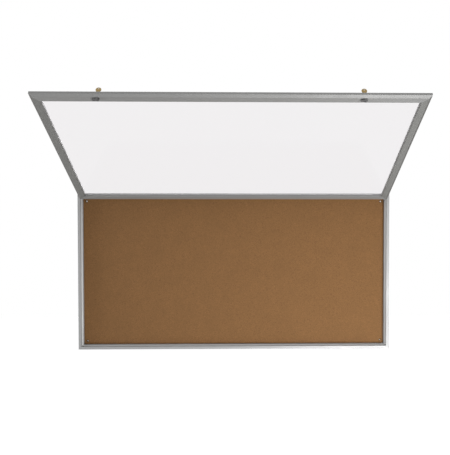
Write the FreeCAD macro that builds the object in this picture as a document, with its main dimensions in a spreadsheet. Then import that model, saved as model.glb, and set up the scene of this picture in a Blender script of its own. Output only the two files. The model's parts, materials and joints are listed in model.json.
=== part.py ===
import FreeCAD
import Part
import Sketcher
import math
import os
from types import SimpleNamespace

# A lockable notice board: a shallow aluminium case with a cork panel, and a glazed cover hinged along its
# top. X is to the right, Y into the wall and Z up. The origin is the centre of the case's back, on the wall
# plane. Every cover piece is drawn with the cover shut, then swung with it to the open rest pose.

Vector = FreeCAD.Vector

SIZES = [
    ("case_width", 1200, "outside width of the case"),
    ("case_height", 600, "outside height of the case"),
    ("case_depth", 36, "outside depth of the case"),
    ("case_wall", 1.6, "wall of the case extrusion"),
    ("rim_width", 10.5, "front rim of the case, seen beside the cover"),
    ("lip_width", 5.5, "stop lip inside the rim, which the cover shuts on"),
    ("back_flange", 20, "back flange of the case rail, from the outside"),
    ("cork_depth", 24.6, "from the front of the rim to the cork"),
    ("cork_thickness", 3, "cork layer"),
    ("back_sheet_thickness", 1, "galvanised sheet behind the board"),
    ("panel_clearance", 0.5, "between the panel's edge and the rail"),
    ("front_rounding", 1.2, "outer front edges of the extrusions"),
    ("edge_rounding", 0.4, "inner front edges of the extrusions"),
    ("fixing_inset", 28, "wall fixing holes, from the outside of the case"),
    ("fixing_hole_radius", 2.75, "bore of a fixing eyelet"),
    ("eyelet_wall", 0.75, "wall of an eyelet's tube"),
    ("eyelet_flange_radius", 6, "flange of an eyelet on the cork"),
    ("eyelet_flange", 0.7, "thickness of an eyelet's flange"),
    ("eyelet_fit", 0.1, "between an eyelet's tube and its hole"),
    ("cover_gap", 1, "between the cover's edge and the rim"),
    ("cover_thickness", 14, "depth of the cover extrusion"),
    ("cover_edge", 8, "depth of the cover's outer edge, in front of the bevel"),
    ("cover_bevel", 8, "bevel along the cover's inner side, from the cover's edge"),
    ("cover_rail_width", 27, "face width of the cover extrusion"),
    ("cover_wall", 1.4, "wall of the cover extrusion"),
    ("cover_clearance", 0.9, "between the shut cover and the lip, in depth"),
    ("glazing_thickness", 2, "clear sheet"),
    ("glazing_edge_gap", 1, "between the sheet's edge and the bottom of its groove"),
    ("groove_width", 3.6, "glazing groove"),
    ("groove_depth", 6, "glazing groove"),
    ("gasket_fit", 0.05, "between the gasket and its groove"),
    ("gasket_show", 0.6, "gasket standing out of the groove"),
    ("seal_inset", 0.8, "cover seal on the bevel, from the cover's edge"),
    ("seal_width", 6, "cover seal"),
    ("seal_proud", 0.55, "cover seal, in depth"),
    ("opening_angle", 120, "cover at rest, in degrees from shut"),
    ("pin_radius", 0.9, "hinge pin"),
    ("pin_clearance", 0.05, "between the pin and a knuckle's bore"),
    ("leaf_thickness", 0.9, "hinge leaf"),
    ("leaf_width", 7.5, "hinge leaf, from the front of the case"),
    ("leaf_end_margin", 5, "hinge, short of the cover's ends"),
    ("knuckle_gap", 0.4, "between neighbouring knuckles"),
    ("leaf_relief", 0.5, "between a leaf's edge and the other leaf's knuckles"),
    ("screw_radius", 1.2, "shank of a hinge screw"),
    ("screw_head_radius", 2.3, "head of a hinge screw"),
    ("screw_head", 0.8, "height of a hinge screw's head"),
    ("screw_length", 6, "shank of a hinge screw"),
    ("screw_fit", 0.05, "between a hinge screw and its holes"),
    ("screw_line", 4.2, "hinge screws, from the front of the case"),
    ("screw_end_inset", 28, "first and last hinge screw of the case leaf, from the leaf's ends"),
    ("case_cleat_arm", 45, "corner cleat of the case"),
    ("cover_cleat_arm", 38, "corner cleat of the cover"),
    ("cleat_fit", 0.1, "between a cleat and its chamber"),
    ("lock_inset", 14.3, "lock axis, from the cover's free edge"),
    ("lock_end_inset", 196, "lock axis, from the cover's ends"),
    ("barrel_radius", 5, "lock barrel"),
    ("barrel_fit", 0.1, "between the barrel and its hole"),
    ("bezel_radius", 8.5, "lock bezel on the cover's outer face"),
    ("bezel_height", 1.6, "lock bezel"),
    ("nut_across_flats", 12, "lock nut"),
    ("nut_thickness", 3, "lock nut"),
    ("nut_fit", 0.05, "between the nut and the barrel"),
    ("plug_radius", 4, "lock plug"),
    ("plug_fit", 0.1, "between the plug and the barrel"),
    ("plug_recess", 0.4, "plug's front, behind the bezel's front"),
    ("plug_square", 5, "square end of the plug, which drives the cam"),
    ("cam_thickness", 2, "cam"),
    ("cam_clearance", 0.2, "between the barrel and the cam"),
    ("cam_hub_radius", 6, "cam"),
    ("cam_arm_radius", 4, "rounded end of the cam"),
    ("cam_reach", 14.5, "cam, from the lock axis to its end"),
    ("cam_play", 0.5, "between the locked cam and the lip"),
    ("cam_hole_fit", 0.1, "between the cam and the plug's square"),
    ("cam_screw_head_radius", 3.2, "cam screw"),
    ("cam_screw_head", 1.5, "cam screw"),
    ("cam_screw_radius", 1.2, "cam screw"),
    ("cam_screw_length", 4.5, "cam screw"),
    ("key_thickness", 1.9, "key"),
    ("key_blade_width", 6.4, "key"),
    ("key_blade_length", 13, "key, inside the plug"),
    ("key_fit", 0.15, "between the key and the keyway, on each side"),
    ("key_bow_radius", 8.5, "key"),
    ("key_bow_distance", 20, "centre of the bow, from the cover's outer face"),
    ("key_neck_width", 9, "key"),
    ("key_lift", 0.8, "between the key's shoulder and the plug"),
    ("key_ring_hole_radius", 2, "key"),
    ("key_cut_pitch", 2.8, "cuts in the key's blade"),
    ("key_cut_width", 2.24, "cuts in the key's blade"),
    ("key_deep_cut", 1.4, "every other cut in the key's blade"),
    ("key_shallow_cut", 1.05, "the cuts between"),
    ("key_bevel", 0.4, "edge of the key's bow"),
]
CASE_LEAF_KNUCKLES = 8
COVER_LEAF_KNUCKLES = CASE_LEAF_KNUCKLES - 1
CASE_LEAF_SCREWS = 5
COVER_LEAF_SCREWS = CASE_LEAF_SCREWS - 1
KEY_CUTS = 4


class Size:
    """A number together with the expression that gives it from the sheet of sizes."""

    def __init__(self, value, text):
        self.value = float(value)
        self.text = text

    def __add__(self, other):
        other = as_size(other)
        return Size(self.value + other.value, f"({self.text} + {other.text})")

    def __sub__(self, other):
        other = as_size(other)
        return Size(self.value - other.value, f"({self.text} - {other.text})")

    def __mul__(self, other):
        other = as_size(other)
        return Size(self.value * other.value, f"({self.text} * {other.text})")

    def __truediv__(self, other):
        other = as_size(other)
        return Size(self.value / other.value, f"({self.text} / {other.text})")

    def __neg__(self):
        return Size(-self.value, f"(0 - {self.text})")


def as_size(value):
    if isinstance(value, Size):
        return value
    return Size(value, f"{float(value)}")


# Document and sheet of sizes

doc = FreeCAD.newDocument("NoticeBoard")
sheet = doc.addObject("Spreadsheet::Sheet", "Sizes")
for row, (alias, number, words) in enumerate(SIZES, start=1):
    sheet.set(f"A{row}", alias)
    sheet.set(f"B{row}", str(number))
    sheet.set(f"C{row}", words)
    sheet.setAlias(f"B{row}", alias)
doc.recompute()
d = SimpleNamespace(**{alias: Size(sheet.get(alias), f"Sizes.{alias}") for alias, number, words in SIZES})

# Sizes that follow from the sheet

ZERO = as_size(0)
COS_30 = Size(math.cos(math.radians(30)), "cos(30 deg)")
half_width = d.case_width / 2
half_height = d.case_height / 2
front = -d.case_depth
cork_front = front + d.cork_depth
core_front = cork_front + d.cork_thickness
back_sheet_back = -d.case_wall
back_sheet_front = back_sheet_back - d.back_sheet_thickness

knuckle_bore = d.pin_radius + d.pin_clearance
knuckle_radius = knuckle_bore + d.leaf_thickness
hinge_y = front - knuckle_radius
hinge_z = half_height - d.rim_width - knuckle_radius

cover_back = front + d.cover_thickness
bevel_slope = (d.cover_thickness - d.cover_edge) / d.cover_bevel
cover_width = d.case_width - (d.rim_width + d.cover_gap) * 2
cover_bottom = -half_height + d.rim_width + d.cover_gap
cover_top = hinge_z - knuckle_radius
cover_height = cover_top - cover_bottom
groove_back = d.cover_wall + d.groove_width
window_half_width = cover_width / 2 - d.cover_rail_width
window_height = cover_height - d.cover_rail_width * 2
window_bottom = cover_bottom + d.cover_rail_width

hinge_length = cover_width - d.leaf_end_margin * 2
knuckle_pitch = hinge_length / (CASE_LEAF_KNUCKLES + COVER_LEAF_KNUCKLES)
knuckle_length = knuckle_pitch - d.knuckle_gap

lock_x = cover_width / 2 - d.lock_end_inset
lock_z = cover_bottom + d.lock_inset
barrel_end = d.cover_thickness + d.nut_thickness
cam_front = barrel_end + d.cam_clearance
cam_back = cam_front + d.cam_thickness
plug_front = -(d.bezel_height - d.plug_recess)
fixing_x = half_width - d.fixing_inset
fixing_z = half_height - d.fixing_inset

# The lip's front slopes with the cover's bevel and its back is where the locked cams reach to

lip_edge = d.rim_width + d.lip_width
lip_root = front + d.cover_edge + d.cover_clearance - bevel_slope * d.cover_gap
lip_front = lip_root + bevel_slope * d.lip_width
lip_back = front + cam_front - d.cam_play

kept = []


# Drawing helpers

def new_body(name):
    body = doc.addObject("PartDesign::Body", name)
    body.Label = name
    return body


def origin_feature(body, role):
    return [f for f in body.Origin.OriginFeatures if f.Role == role][0]


def new_sketch(body, name, role, offset=None):
    """A sketch on one of the body's own origin planes, moved along the plane's normal by offset."""
    sketch = body.newObject("Sketcher::SketchObject", name)
    sketch.AttachmentSupport = [(origin_feature(body, role), "")]
    sketch.MapMode = "FlatFace"
    if offset is not None:
        sketch.AttachmentOffset = FreeCAD.Placement(Vector(0, 0, offset.value), FreeCAD.Rotation())
        sketch.setExpression("AttachmentOffset.Base.z", offset.text)
    return sketch


def bind(sketch, kind, size, *ends):
    """A dimension of the sketch that follows the sheet."""
    index = sketch.addConstraint(Sketcher.Constraint(kind, *ends, size.value))
    if "Sizes" in size.text:
        sketch.setExpression(f"Constraints[{index}]", size.text)


def add_outline(sketch, corners):
    """A closed outline of straight lines through corners, each corner placed from the origin."""
    corners = [(as_size(x), as_size(y)) for x, y in corners]
    first = len(sketch.Geometry)
    count = len(corners)
    for i, (x, y) in enumerate(corners):
        next_x, next_y = corners[(i + 1) % count]
        start = Vector(x.value, y.value, 0)
        end = Vector(next_x.value, next_y.value, 0)
        sketch.addGeometry(Part.LineSegment(start, end), False)
    for i in range(count):
        following = (i + 1) % count
        sketch.addConstraint(Sketcher.Constraint("Coincident", first + i, 2, first + following, 1))
    for i, (x, y) in enumerate(corners):
        bind(sketch, "DistanceX", x, -1, 1, first + i, 1)
        bind(sketch, "DistanceY", y, -1, 1, first + i, 1)


def add_rectangle(sketch, x0, y0, x1, y1):
    add_outline(sketch, [(x0, y0), (x1, y0), (x1, y1), (x0, y1)])


def add_circle(sketch, x, y, radius):
    x, y = as_size(x), as_size(y)
    centre = Vector(x.value, y.value, 0)
    index = sketch.addGeometry(Part.Circle(centre, Vector(0, 0, 1), radius.value), False)
    bind(sketch, "DistanceX", x, -1, 1, index, 3)
    bind(sketch, "DistanceY", y, -1, 1, index, 3)
    bind(sketch, "Radius", radius, index)


def pad(body, sketch, length, symmetric=False, reverse=False):
    feature = body.newObject("PartDesign::Pad", f"{sketch.Name}_pad")
    feature.Profile = sketch
    feature.Length = length.value
    feature.setExpression("Length", length.text)
    feature.Midplane = symmetric
    feature.Reversed = reverse
    doc.recompute()
    return feature


def pocket(body, sketch, depth=None, reverse=False):
    """A cut to depth, or right through both ways where depth is left out. It has to take material away."""
    before = body.Shape.Volume
    feature = body.newObject("PartDesign::Pocket", f"{sketch.Name}_cut")
    feature.Profile = sketch
    if depth is None:
        feature.Type = "ThroughAll"
        feature.Midplane = True
    else:
        feature.Length = depth.value
        feature.setExpression("Length", depth.text)
        feature.Reversed = reverse
    doc.recompute()
    if not body.Shape.Volume < before:
        raise RuntimeError(f"{feature.Name} cuts nothing")
    return feature


def revolve(body, sketch):
    """A full turn of the sketch about its own vertical axis."""
    feature = body.newObject("PartDesign::Revolution", f"{sketch.Name}_turn")
    feature.Profile = sketch
    feature.ReferenceAxis = (sketch, ["V_Axis"])
    feature.Angle = 360
    doc.recompute()
    return feature


def repeat_along_x(body, originals, spacing, count):
    """Copies of the originals along X, spacing apart."""
    pattern = body.newObject("PartDesign::LinearPattern", f"{originals[0].Name}_row")
    pattern.Originals = originals
    pattern.Direction = (origin_feature(body, "X_Axis"), [""])
    run = spacing * (count - 1)
    pattern.Length = run.value
    pattern.setExpression("Length", run.text)
    pattern.Occurrences = count
    body.Tip = pattern
    doc.recompute()
    return pattern


def edge_names(shape, wanted):
    return [f"Edge{i}" for i, edge in enumerate(shape.Edges, start=1) if wanted(edge)]


def long_edge_at(y, z):
    """A test for the straight edges along X that lie at this y and z."""
    def wanted(edge):
        ends = [v.Point for v in edge.Vertexes]
        return len(ends) == 2 and all(abs(p.y - y) < 1e-4 and abs(p.z - z) < 1e-4 for p in ends)
    return wanted


def round_edges(body, base, wanted, radius, kind="PartDesign::Fillet"):
    feature = body.newObject(kind, f"{base.Name}_round")
    feature.Base = (base, edge_names(base.Shape, wanted))
    side = "Radius" if kind.endswith("Fillet") else "Size"
    setattr(feature, side, radius.value)
    feature.setExpression(side, radius.text)
    doc.recompute()
    return feature


def turned(axis, degrees, at=Vector(0, 0, 0)):
    return FreeCAD.Placement(at, FreeCAD.Rotation(axis, degrees))


X_AXIS = Vector(1, 0, 0)
Y_AXIS = Vector(0, 1, 0)
NO_TURN = FreeCAD.Placement()
hinge_point = Vector(0, hinge_y.value, hinge_z.value)
SWING = FreeCAD.Placement(Vector(), FreeCAD.Rotation(X_AXIS, -d.opening_angle.value), hinge_point)


def keep(piece, place=NO_TURN, on_cover=False):
    """Places a finished piece and lists it as one of the board's own."""
    piece.Placement = SWING.multiply(place) if on_cover else place
    kept.append(piece)
    return piece


def group(name, copies, on_cover=False):
    """One piece made of like solids. copies lists (drawn body, placement)."""
    links = []
    for i, (drawn, place) in enumerate(copies):
        link = doc.addObject("App::Link", f"{name}_{i + 1}")
        link.LinkedObject = drawn
        link.LinkPlacement = place
        links.append(link)
    compound = doc.addObject("Part::Compound", name)
    compound.Label = name
    compound.Links = links
    doc.recompute()
    return keep(compound, NO_TURN, on_cover)


# Extruded rails: drawn along X with the outside at Z = 0 and turned to the four sides

def straight_rail(name, outline, chambers, length):
    """A hollow extrusion along X, before its ends are cut. Returns the body and its pad."""
    body = new_body(name)
    section = new_sketch(body, f"{name}_section", "YZ_Plane")
    add_outline(section, outline)
    for chamber in chambers:
        add_outline(section, chamber)
    bar = pad(body, section, length, symmetric=True)
    return body, bar


def cut_mitres(body, name, length, reach):
    """Cuts both ends at 45 degrees, from the outside at Z = 0 as far as reach."""
    ends = new_sketch(body, f"{name}_mitres", "XZ_Plane")
    for side in (-1, 1):
        tip = length / 2 * side
        add_outline(ends, [(tip, ZERO), (tip, reach), (tip - reach * side, reach)])
    return pocket(body, ends)


def side_places(width, height, centre_z=ZERO, y=ZERO):
    """Where a rail drawn on the bottom goes, for each side of a frame of that width and height."""
    low = centre_z.value - height.value / 2
    high = centre_z.value + height.value / 2
    edge = width.value / 2
    return {
        "bottom": turned(Y_AXIS, 0, Vector(0, y.value, low)),
        "left": turned(Y_AXIS, 90, Vector(-edge, y.value, centre_z.value)),
        "top": turned(Y_AXIS, 180, Vector(0, y.value, high)),
        "right": turned(Y_AXIS, -90, Vector(edge, y.value, centre_z.value)),
    }


def corner_places(width, height, centre_z=ZERO):
    """Where a cleat drawn at the origin corner goes, for each corner of such a frame."""
    edge, half = width.value / 2, height.value / 2
    z = centre_z.value
    return [
        turned(Y_AXIS, 0, Vector(-edge, 0, z - half)),
        turned(Y_AXIS, 90, Vector(-edge, 0, z + half)),
        turned(Y_AXIS, 180, Vector(edge, 0, z + half)),
        turned(Y_AXIS, 270, Vector(edge, 0, z - half)),
    ]


CASE_PLACES = side_places(d.case_width, d.case_height)
cover_centre_z = (cover_top + cover_bottom) / 2
COVER_PLACES = side_places(cover_width, cover_height, cover_centre_z)
SIDE_NAMES = ["top", "bottom", "left", "right"]


screw_spacing = (hinge_length - d.screw_end_inset * 2) / (CASE_LEAF_SCREWS - 1)


def first_screw_x(count):
    """The screws of each leaf stand evenly about the middle, and those of one come between the other's."""
    return -screw_spacing * (count - 1) / 2


def hinge_screw_holes(body, name, plane_z, depth, count, upward):
    """A row of plain holes for the hinge screws, cut down or upward from plane_z."""
    holes = new_sketch(body, f"{name}_screw_hole", "XY_Plane", plane_z)
    add_circle(holes, first_screw_x(count), front + d.screw_line, d.screw_radius + d.screw_fit)
    cut = pocket(body, holes, depth, reverse=upward)
    return repeat_along_x(body, [cut], screw_spacing, count)


# Case rails

def case_outline():
    groove_front = cork_front - d.case_wall
    return [
        (front, ZERO),
        (front, d.rim_width),
        (lip_root, d.rim_width),
        (lip_front, lip_edge),
        (lip_back, lip_edge),
        (lip_back, d.rim_width),
        (groove_front, d.rim_width),
        (groove_front, lip_edge),
        (cork_front, lip_edge),
        (cork_front, d.rim_width),
        (back_sheet_back, d.rim_width),
        (back_sheet_back, d.back_flange),
        (ZERO, d.back_flange),
        (ZERO, ZERO),
    ]


def case_chambers():
    """The front chamber, and the back one that reaches into the lip."""
    wall = d.case_wall
    inner = d.rim_width - wall
    web_back = lip_root + wall
    return [
        [(front + wall, wall), (lip_root, wall), (lip_root, inner), (front + wall, inner)],
        [
            (web_back, wall),
            (back_sheet_back, wall),
            (back_sheet_back, inner),
            (lip_back - wall, inner),
            (lip_back - wall, lip_edge - wall),
            (lip_front + wall, lip_edge - wall),
            (web_back, inner),
        ],
    ]


def case_rail(side, length):
    name = f"case_{side}_rail"
    body, bar = straight_rail(name, case_outline(), case_chambers(), length)
    rounded = round_edges(body, bar, long_edge_at(front.value, 0), d.front_rounding)
    inner = long_edge_at(front.value, d.rim_width.value)
    round_edges(body, rounded, inner, d.edge_rounding)
    cut_mitres(body, name, length, d.back_flange)
    if side == "top":
        hinge_screw_holes(body, name, d.rim_width, d.case_wall, CASE_LEAF_SCREWS, False)
    return keep(body, CASE_PLACES[side])


for side in SIDE_NAMES:
    case_rail(side, d.case_width if side in ("top", "bottom") else d.case_height)


# Corner cleats, which the rails are crimped on

def cleat(name, start, y0, y1, thickness, arm):
    """An angle in the rails' chambers. start is its outer corner's distance from the frame's outside."""
    body = new_body(name)
    sketch = new_sketch(body, f"{name}_angle", "XZ_Plane", -y1)
    inner = start + thickness
    end = start + arm
    corners = [(start, start), (end, start), (end, inner), (inner, inner), (inner, end), (start, end)]
    add_outline(sketch, corners)
    pad(body, sketch, y1 - y0)
    return body


case_cleat = cleat(
    "case_cleat",
    d.case_wall + d.cleat_fit,
    lip_back + d.cleat_fit,
    back_sheet_back - d.cleat_fit,
    d.rim_width - (d.case_wall + d.cleat_fit) * 2,
    d.case_cleat_arm,
)
case_corners = corner_places(d.case_width, d.case_height)
group("case_corner_cleats", [(case_cleat, place) for place in case_corners])

cover_cleat_start = d.cover_bevel + d.cover_wall / 2 + d.cleat_fit
cover_cleat = cleat(
    "cover_cleat",
    cover_cleat_start,
    front + d.cover_wall + d.cleat_fit,
    cover_back - d.cover_wall - d.cleat_fit,
    d.cover_rail_width - d.groove_depth - d.cover_wall - d.cleat_fit - cover_cleat_start,
    d.cover_cleat_arm,
)
cover_corners = corner_places(cover_width, cover_height, cover_centre_z)
group("cover_corner_cleats", [(cover_cleat, place) for place in cover_corners], on_cover=True)


# Board: galvanised sheet, softboard core and cork, held in the rails' groove

def board_layer(name, y0, y1):
    body = new_body(name)
    sketch = new_sketch(body, f"{name}_outline", "XZ_Plane", -y1)
    half_x = half_width - d.rim_width - d.panel_clearance
    half_z = half_height - d.rim_width - d.panel_clearance
    add_rectangle(sketch, -half_x, -half_z, half_x, half_z)
    for side in (-1, 1):
        for level in (-1, 1):
            hole = d.fixing_hole_radius + d.eyelet_wall + d.eyelet_fit
            add_circle(sketch, fixing_x * side, fixing_z * level, hole)
    pad(body, sketch, y1 - y0)
    return keep(body)


board_layer("back_sheet", back_sheet_front, back_sheet_back)
board_layer("board_core", core_front, back_sheet_front)
board_layer("cork_sheet", cork_front, core_front)

# The eyelets' tubes reach the wall, so that a tight wall screw doesn't bend the panel

eyelet = new_body("eyelet")
profile = new_sketch(eyelet, "eyelet_profile", "XY_Plane")
tube = d.fixing_hole_radius + d.eyelet_wall
add_outline(profile, [
    (d.fixing_hole_radius, cork_front - d.eyelet_flange),
    (d.eyelet_flange_radius, cork_front - d.eyelet_flange),
    (d.eyelet_flange_radius, cork_front),
    (tube, cork_front),
    (tube, ZERO),
    (d.fixing_hole_radius, ZERO),
])
revolve(eyelet, profile)
eyelet_places = []
for side in (-1, 1):
    for level in (-1, 1):
        at = Vector(fixing_x.value * side, 0, fixing_z.value * level)
        eyelet_places.append(turned(Y_AXIS, 0, at))
group("fixing_eyelets", [(eyelet, place) for place in eyelet_places])


# Continuous hinge: two leaves with knuckles by turns on one pin

def hinge_leaf(name, knuckles, above, screws):
    """A leaf lying above or below the pin's level, with its knuckles rolled round the pin."""
    body = new_body(name)
    sign = 1 if above else -1
    outer = hinge_z + knuckle_radius * sign
    inner = hinge_z + knuckle_bore * sign
    plate_front = hinge_y + knuckle_radius + d.leaf_relief
    plate = new_sketch(body, f"{name}_plate", "YZ_Plane")
    add_rectangle(plate, plate_front, inner, front + d.leaf_width, outer)
    pad(body, plate, hinge_length, symmetric=True)
    first_x = -hinge_length / 2 + d.knuckle_gap / 2
    if not above:
        first_x = first_x + knuckle_pitch
    ring = new_sketch(body, f"{name}_knuckle", "YZ_Plane", first_x)
    add_circle(ring, hinge_y, hinge_z, knuckle_radius)
    add_circle(ring, hinge_y, hinge_z, knuckle_bore)
    tab = new_sketch(body, f"{name}_tab", "YZ_Plane", first_x)
    add_rectangle(tab, hinge_y, inner, plate_front, outer)
    tab_pad = pad(body, tab, knuckle_length)
    ring_pad = pad(body, ring, knuckle_length)
    repeat_along_x(body, [tab_pad, ring_pad], knuckle_pitch * 2, knuckles)
    hinge_screw_holes(body, name, outer, d.leaf_thickness, screws, not above)
    return body


keep(hinge_leaf("hinge_case_leaf", CASE_LEAF_KNUCKLES, True, CASE_LEAF_SCREWS))
keep(hinge_leaf("hinge_cover_leaf", COVER_LEAF_KNUCKLES, False, COVER_LEAF_SCREWS), on_cover=True)

pin = doc.addObject("Part::Cylinder", "hinge_pin")
pin.Label = "hinge_pin"
pin.setExpression("Radius", d.pin_radius.text)
pin.setExpression("Height", hinge_length.text)
doc.recompute()
keep(pin, turned(Y_AXIS, 90, Vector(-hinge_length.value / 2, hinge_y.value, hinge_z.value)))

hinge_screw = new_body("hinge_screw")
profile = new_sketch(hinge_screw, "hinge_screw_profile", "XZ_Plane")
add_outline(profile, [
    (ZERO, -d.screw_head),
    (d.screw_head_radius, -d.screw_head),
    (d.screw_head_radius, ZERO),
    (d.screw_radius, ZERO),
    (d.screw_radius, d.screw_length),
    (ZERO, d.screw_length),
])
revolve(hinge_screw, profile)


def hinge_screws(name, count, above):
    """Screws whose heads bear on the leaf's inner side and whose shanks go into the rail."""
    sign = 1 if above else -1
    z = hinge_z.value + knuckle_bore.value * sign
    copies = []
    for i in range(count):
        x = first_screw_x(count).value + screw_spacing.value * i
        at = Vector(x, front.value + d.screw_line.value, z)
        copies.append((hinge_screw, turned(X_AXIS, 0 if above else 180, at)))
    return group(name, copies, on_cover=not above)


hinge_screws("hinge_case_screws", CASE_LEAF_SCREWS, True)
hinge_screws("hinge_cover_screws", COVER_LEAF_SCREWS, False)


# Cover rails

def cover_outline():
    groove_floor = d.cover_rail_width - d.groove_depth
    return [
        (front, ZERO),
        (front, d.cover_rail_width),
        (front + d.cover_wall, d.cover_rail_width),
        (front + d.cover_wall, groove_floor),
        (front + groove_back, groove_floor),
        (front + groove_back, d.cover_rail_width),
        (cover_back, d.cover_rail_width),
        (cover_back, d.cover_bevel),
        (front + d.cover_edge, ZERO),
    ]


def cover_chamber():
    wall = d.cover_wall
    groove_floor = d.cover_rail_width - d.groove_depth - wall
    return [
        (front + wall, wall),
        (front + wall, groove_floor),
        (front + groove_back + wall, groove_floor),
        (front + groove_back + wall, d.cover_rail_width - wall),
        (cover_back - wall, d.cover_rail_width - wall),
        (cover_back - wall, d.cover_bevel + wall / 2),
        (front + d.cover_edge - wall / 2, wall),
    ]


def cover_rail(side, length):
    name = f"cover_{side}_rail"
    body, bar = straight_rail(name, cover_outline(), [cover_chamber()], length)
    rounded = round_edges(body, bar, long_edge_at(front.value, 0), d.edge_rounding)
    inner = long_edge_at(cover_back.value, d.cover_rail_width.value)
    round_edges(body, rounded, inner, d.edge_rounding)
    cut_mitres(body, name, length, d.cover_rail_width)
    if side == "bottom":
        bores = new_sketch(body, f"{name}_lock_bores", "XZ_Plane")
        for end in (-1, 1):
            add_circle(bores, lock_x * end, d.lock_inset, d.barrel_radius + d.barrel_fit)
        pocket(body, bores)
    if side == "top":
        hinge_screw_holes(body, name, ZERO, d.cover_wall, COVER_LEAF_SCREWS, True)
    return keep(body, COVER_PLACES[side], on_cover=True)


for side in SIDE_NAMES:
    cover_rail(side, cover_width if side in ("top", "bottom") else cover_height)


# Glazing, its gasket, and the seal on the cover's bevel

def cover_box(name, half_x, z0, z1, y0, y1):
    box = doc.addObject("Part::Box", name)
    box.setExpression("Length", (half_x * 2).text)
    box.setExpression("Width", (y1 - y0).text)
    box.setExpression("Height", (z1 - z0).text)
    box.Placement.Base = Vector(-half_x.value, y0.value, z0.value)
    box.setExpression("Placement.Base.x", (-half_x).text)
    box.setExpression("Placement.Base.y", y0.text)
    box.setExpression("Placement.Base.z", z0.text)
    return box


def frame_box(name, overlap, y0, y1):
    """A box that reaches overlap past the cover's window on every side."""
    low = window_bottom - overlap
    high = window_bottom + window_height + overlap
    return cover_box(name, window_half_width + overlap, low, high, y0, y1)


def cut_from(name, base, tool):
    feature = doc.addObject("Part::Cut", name)
    feature.Label = name
    feature.Base = base
    feature.Tool = tool
    return feature


glass_front = front + d.cover_wall + (d.groove_width - d.glazing_thickness) / 2
glass_back = glass_front + d.glazing_thickness
glass_overlap = d.groove_depth - d.glazing_edge_gap

glazing = new_body("glazing")
pane = new_sketch(glazing, "glazing_outline", "XZ_Plane", -glass_back)
pane_half = window_half_width + glass_overlap
pane_low = window_bottom - glass_overlap
pane_high = window_bottom + window_height + glass_overlap
add_rectangle(pane, -pane_half, pane_low, pane_half, pane_high)
pad(glazing, pane, d.glazing_thickness)
keep(glazing, on_cover=True)

gasket_front = front + d.cover_wall + d.gasket_fit
gasket_back = front + groove_back - d.gasket_fit
gasket_block = frame_box("gasket_block", d.groove_depth - d.gasket_fit, gasket_front, gasket_back)
gasket_window = frame_box("gasket_window", -d.gasket_show, front, cover_back)
gasket_slot = frame_box(
    "gasket_slot", glass_overlap, glass_front - d.gasket_fit, glass_back + d.gasket_fit
)
gasket_ring = cut_from("gasket_ring", gasket_block, gasket_window)
gasket = cut_from("glazing_gasket", gasket_ring, gasket_slot)
doc.recompute()
keep(gasket, on_cover=True)


def seal_strip(name, length):
    """A flat strip along the bevel, which the shut cover brings against the lip."""
    low = d.seal_inset
    high = d.seal_inset + d.seal_width
    low_y = front + d.cover_edge + bevel_slope * low
    high_y = front + d.cover_edge + bevel_slope * high
    outline = [(low_y, low), (high_y, high), (high_y + d.seal_proud, high), (low_y + d.seal_proud, low)]
    body, bar = straight_rail(name, outline, [], length)
    cut_mitres(body, name, length, high)
    return body


strip = seal_strip("seal_strip", cover_height)
group("cover_seal", [(strip, COVER_PLACES["left"]), (strip, COVER_PLACES["right"])], on_cover=True)


# Cam locks: drawn about the Y axis with the cover's outer face at Y = 0

def lock_barrel(name):
    body = new_body(name)
    profile = new_sketch(body, f"{name}_profile", "XY_Plane")
    bore = d.plug_radius + d.plug_fit
    add_outline(profile, [
        (bore, -d.bezel_height),
        (d.bezel_radius - d.bezel_height / 2, -d.bezel_height),
        (d.bezel_radius, -d.bezel_height / 2),
        (d.bezel_radius, ZERO),
        (d.barrel_radius, ZERO),
        (d.barrel_radius, barrel_end),
        (bore, barrel_end),
    ])
    revolve(body, profile)
    return body


def lock_nut(name):
    prism = doc.addObject("Part::Prism", f"{name}_hexagon")
    prism.Polygon = 6
    corner_radius = d.nut_across_flats / 2 / COS_30
    prism.setExpression("Circumradius", corner_radius.text)
    prism.setExpression("Height", d.nut_thickness.text)
    bore = doc.addObject("Part::Cylinder", f"{name}_bore")
    bore.setExpression("Radius", (d.barrel_radius + d.nut_fit).text)
    bore.setExpression("Height", d.nut_thickness.text)
    nut = cut_from(name, prism, bore)
    doc.recompute()
    return nut


def lock_plug(name):
    body = new_body(name)
    round_part = new_sketch(body, f"{name}_round", "XZ_Plane", -plug_front)
    add_circle(round_part, ZERO, ZERO, d.plug_radius)
    pad(body, round_part, cam_front - plug_front, reverse=True)
    square = new_sketch(body, f"{name}_square", "XZ_Plane", -cam_front)
    half = d.plug_square / 2
    add_rectangle(square, -half, -half, half, half)
    pad(body, square, d.cam_thickness, reverse=True)
    keyway = new_sketch(body, f"{name}_keyway", "XZ_Plane", -plug_front)
    half_wide = d.key_blade_width / 2 + d.key_fit
    half_thin = d.key_thickness / 2 + d.key_fit
    add_rectangle(keyway, -half_wide, -half_thin, half_wide, half_thin)
    pocket(body, keyway, d.key_blade_length + d.key_fit - plug_front)
    screw_hole = new_sketch(body, f"{name}_screw_hole", "XZ_Plane", -cam_back)
    add_circle(screw_hole, ZERO, ZERO, d.cam_screw_radius)
    pocket(body, screw_hole, d.cam_screw_length, reverse=True)
    return body


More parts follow.
